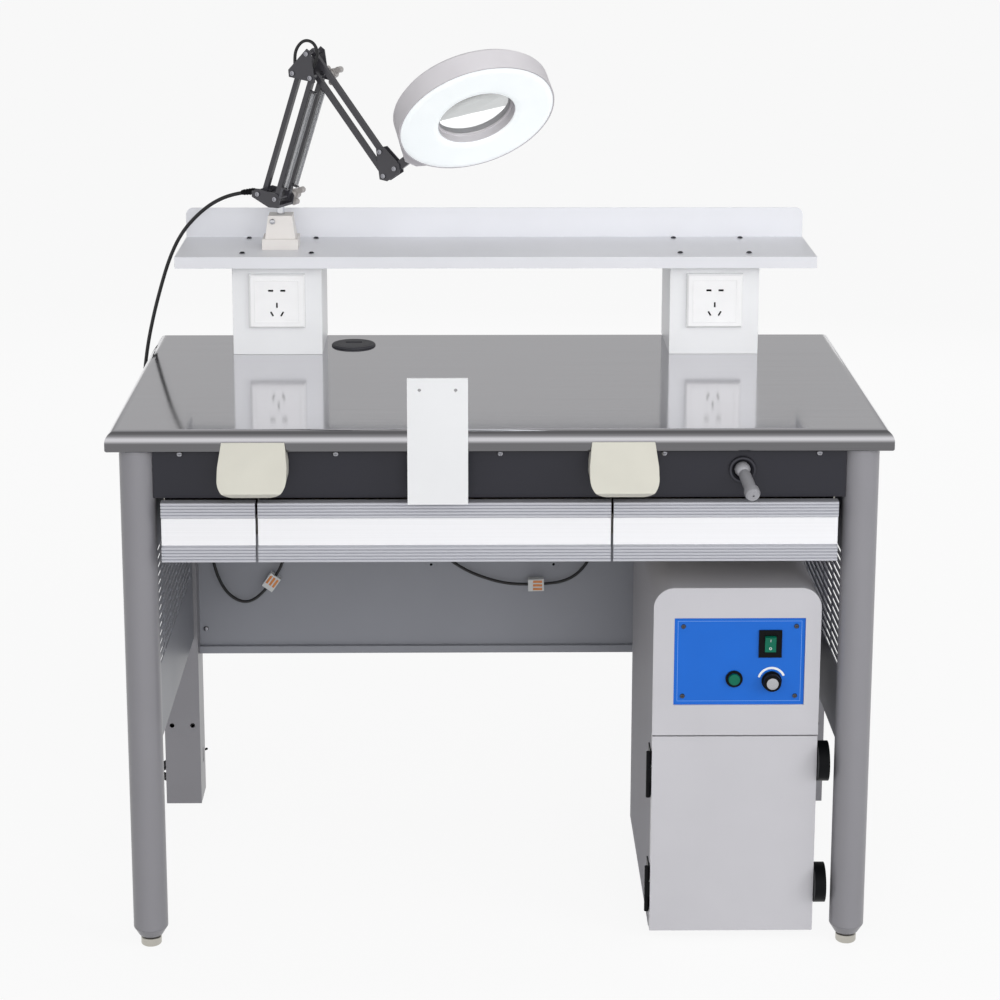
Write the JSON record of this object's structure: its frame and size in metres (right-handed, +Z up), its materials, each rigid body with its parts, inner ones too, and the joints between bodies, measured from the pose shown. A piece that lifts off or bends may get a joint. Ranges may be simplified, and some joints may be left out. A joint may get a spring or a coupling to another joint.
{
  "type": "dental laboratory bench",
  "caption": "Steel-framed dental laboratory bench with drawers, arm rests, an air gun, a socket shelf with a ring magnifier lamp, and a dust collector under its right end.",
  "frame": {"origin": "on the floor at the middle of the bench's footprint, arm rests included", "axes": "+X along the bench to the user's right, +Y to its back, +Z up"},
  "size_m": [1.1338, 0.8331, 1.2751],
  "materials": {
    "stainless": "brushed",
    "board": "raw particle board",
    "black_plastic": "matt",
    "leg_grey": "satin powder coat",
    "panel_grey": "satin powder coat",
    "charcoal": "satin",
    "zinc": "zinc plated",
    "aluminium": "anodised",
    "cream": "satin",
    "white_paint": "satin powder coat",
    "socket_white": "gloss",
    "shelf_paint": "satin powder coat",
    "chrome": "polished",
    "lamp_dark": "satin",
    "spring_steel": "bright",
    "lamp_grey": "fine texture",
    "diffuser": "opal",
    "lens_glass": "polished",
    "collector_paint": "fine texture",
    "panel_blue": "gloss",
    "green": "gloss",
    "filter": "felt",
    "cable_black": "matt"
  },
  "bodies": {
    "bench": {"worktop_skin": "stainless", "worktop_board": "board", "cable_grommet": "black_plastic", "front_legs": "leg_grey", "leg_feet": "zinc", "rear_legs": "leg_grey", "side_panels": "panel_grey", "back_panel": "panel_grey", "frame_rails": "charcoal", "apron": "charcoal", "dome_screws": "chrome", "drawer_runners": "zinc", "armrests": "cream", "work_plate": "white_paint", "air_gun_bush": "charcoal", "pedestals": "white_paint", "sockets": "socket_white", "shelf": "shelf_paint", "lamp_base": "cream", "collector_shell": "collector_paint", "collector_chassis": "collector_paint", "collector_fascia": "collector_paint", "control_panel": "panel_blue", "switch_bezels": "black_plastic", "door_hinges": "black_plastic", "collector_filter": "filter", "harness": "cable_black", "harness_fittings": "socket_white", "lamp_cord": "cable_black", "cord_coil": "cable_black", "cord_plug": "cable_black"},
    "drawer_left": {"drawer_front_left": "aluminium", "drawer_tray_left": "zinc"},
    "drawer_middle": {"drawer_front_middle": "aluminium", "drawer_tray_middle": "zinc"},
    "drawer_right": {"drawer_front_right": "aluminium", "drawer_tray_right": "zinc"},
    "air_gun": {"air_gun": "chrome"},
    "lamp_stand": {"lamp_post": "chrome", "lamp_base_bracket": "lamp_dark"},
    "lamp_lower": {"lamp_front_bars": "lamp_dark", "lamp_springs": "spring_steel"},
    "lamp_rear": {"lamp_rear_bar": "lamp_dark"},
    "lamp_elbow": {"lamp_elbow": "lamp_dark", "lamp_cable_loop": "cable_black"},
    "lamp_upper": {"lamp_upper_bar": "lamp_dark"},
    "lamp_link": {"lamp_upper_link": "lamp_dark"},
    "lamp_wrist": {"lamp_head_bracket": "lamp_dark"},
    "lamp_neck": {"lamp_neck": "lamp_dark"},
    "lamp_head": {"lamp_shell": "lamp_grey", "lamp_diffuser": "diffuser", "lamp_lens": "lens_glass"},
    "base_knob": {"lamp_base_knob": "lamp_grey"},
    "elbow_knob": {"lamp_elbow_knob": "lamp_grey"},
    "door": {"collector_door": "collector_paint"},
    "latch_upper": {"door_latch_upper": "black_plastic"},
    "latch_lower": {"door_latch_lower": "black_plastic"},
    "rocker": {"rocker": "green"},
    "push_button": {"push_button": "green"},
    "dial": {"dial_knob": "black_plastic"}
  },
  "joints": [
    {"name": "drawer_left_slide", "type": "slide", "parent": "bench", "child": "drawer_left", "axis": [0, -1, 0], "range_m": [0, 0.3]},
    {"name": "drawer_middle_slide", "type": "slide", "parent": "bench", "child": "drawer_middle", "axis": [0, -1, 0], "range_m": [0, 0.3]},
    {"name": "drawer_right_slide", "type": "slide", "parent": "bench", "child": "drawer_right", "axis": [0, -1, 0], "range_m": [0, 0.3]},
    {"name": "air_gun_tilt", "type": "hinge", "parent": "bench", "child": "air_gun", "pos_m": [0.34, -0.282, 0.72], "axis": [1, 0, 0], "range_deg": [-8, 8], "stiffness_Nm_per_rad": 2},
    {"name": "lamp_swivel", "type": "hinge", "parent": "bench", "child": "lamp_stand", "pos_m": [-0.34, 0.258, 1.006], "axis": [0, 0, 1], "range_deg": [-120, 45]},
    {"name": "lamp_lower_tilt", "type": "hinge", "parent": "lamp_stand", "child": "lamp_lower", "pos_m": [-0.3373, 0.25668, 1.02], "axis": [0.4384, 0.8988, 0], "range_deg": [-20, 25]},
    {"name": "lamp_rear_tilt", "type": "hinge", "parent": "lamp_stand", "child": "lamp_rear", "pos_m": [-0.36518, 0.27028, 1.02603], "axis": [0.4384, 0.8988, 0], "range_deg": [-20, 25]},
    {"name": "lamp_elbow_level", "type": "hinge", "parent": "lamp_lower", "child": "lamp_elbow", "pos_m": [-0.27732, 0.22743, 1.21383], "axis": [0.4384, 0.8988, 0], "range_deg": [-25, 20]},
    {"name": "lamp_upper_tilt", "type": "hinge", "parent": "lamp_elbow", "child": "lamp_upper", "pos_m": [-0.28271, 0.23006, 1.25085], "axis": [0.4384, 0.8988, 0], "range_deg": [-50, 8]},
    {"name": "lamp_link_tilt", "type": "hinge", "parent": "lamp_elbow", "child": "lamp_link", "pos_m": [-0.27732, 0.22743, 1.21383], "axis": [0.4384, 0.8988, 0], "range_deg": [-50, 8]},
    {"name": "lamp_wrist_level", "type": "hinge", "parent": "lamp_upper", "child": "lamp_wrist", "pos_m": [-0.17655, 0.17828, 1.10394], "axis": [0.4384, 0.8988, 0], "range_deg": [-8, 50]},
    {"name": "lamp_head_tilt", "type": "hinge", "parent": "lamp_wrist", "child": "lamp_neck", "pos_m": [-0.15408, 0.16732, 1.07943], "axis": [0.4384, 0.8988, 0], "range_deg": [-25, 30]},
    {"name": "lamp_head_roll", "type": "hinge", "parent": "lamp_neck", "child": "lamp_head", "pos_m": [-0.12824, 0.15472, 1.1011], "axis": [0.7178, -0.3501, 0.6018], "range_deg": [-60, 30]},
    {"name": "base_knob_turn", "type": "hinge", "parent": "lamp_stand", "child": "base_knob", "pos_m": [-0.31977, 0.29264, 1.02], "axis": [0.4384, 0.8988, 0], "range_deg": [-90, 90]},
    {"name": "elbow_knob_turn", "type": "hinge", "parent": "lamp_elbow", "child": "elbow_knob", "pos_m": [-0.25627, 0.27057, 1.21383], "axis": [0.4384, 0.8988, 0], "range_deg": [-90, 90]},
    {"name": "door_hinge", "type": "hinge", "parent": "bench", "child": "door", "pos_m": [0.216, -0.259, 0.165], "axis": [0, 0, -1], "range_deg": [0, 110]},
    {"name": "latch_upper_turn", "type": "hinge", "parent": "door", "child": "latch_upper", "pos_m": [0.468, -0.256, 0.275], "axis": [1, 0, 0], "range_deg": [0, 90]},
    {"name": "latch_lower_turn", "type": "hinge", "parent": "door", "child": "latch_lower", "pos_m": [0.468, -0.256, 0.086], "axis": [1, 0, 0], "range_deg": [0, 90]},
    {"name": "rocker_turn", "type": "hinge", "parent": "bench", "child": "rocker", "pos_m": [0.388, -0.2635, 0.456], "axis": [-1, 0, 0], "range_deg": [0, 16]},
    {"name": "button_press", "type": "slide", "parent": "bench", "child": "push_button", "axis": [0, 1, 0], "range_m": [0, 0.0025], "stiffness_N_per_m": 400},
    {"name": "dial_turn", "type": "hinge", "parent": "bench", "child": "dial", "pos_m": [0.391, -0.262, 0.4], "axis": [0, 1, 0], "range_deg": [0, 270]}
  ],
  "couplings": [
    {"joint": "lamp_rear_tilt", "follows": "lamp_lower_tilt", "ratio": 1},
    {"joint": "lamp_elbow_level", "follows": "lamp_lower_tilt", "ratio": -1},
    {"joint": "lamp_link_tilt", "follows": "lamp_upper_tilt", "ratio": 1},
    {"joint": "lamp_wrist_level", "follows": "lamp_upper_tilt", "ratio": -1}
  ]
}
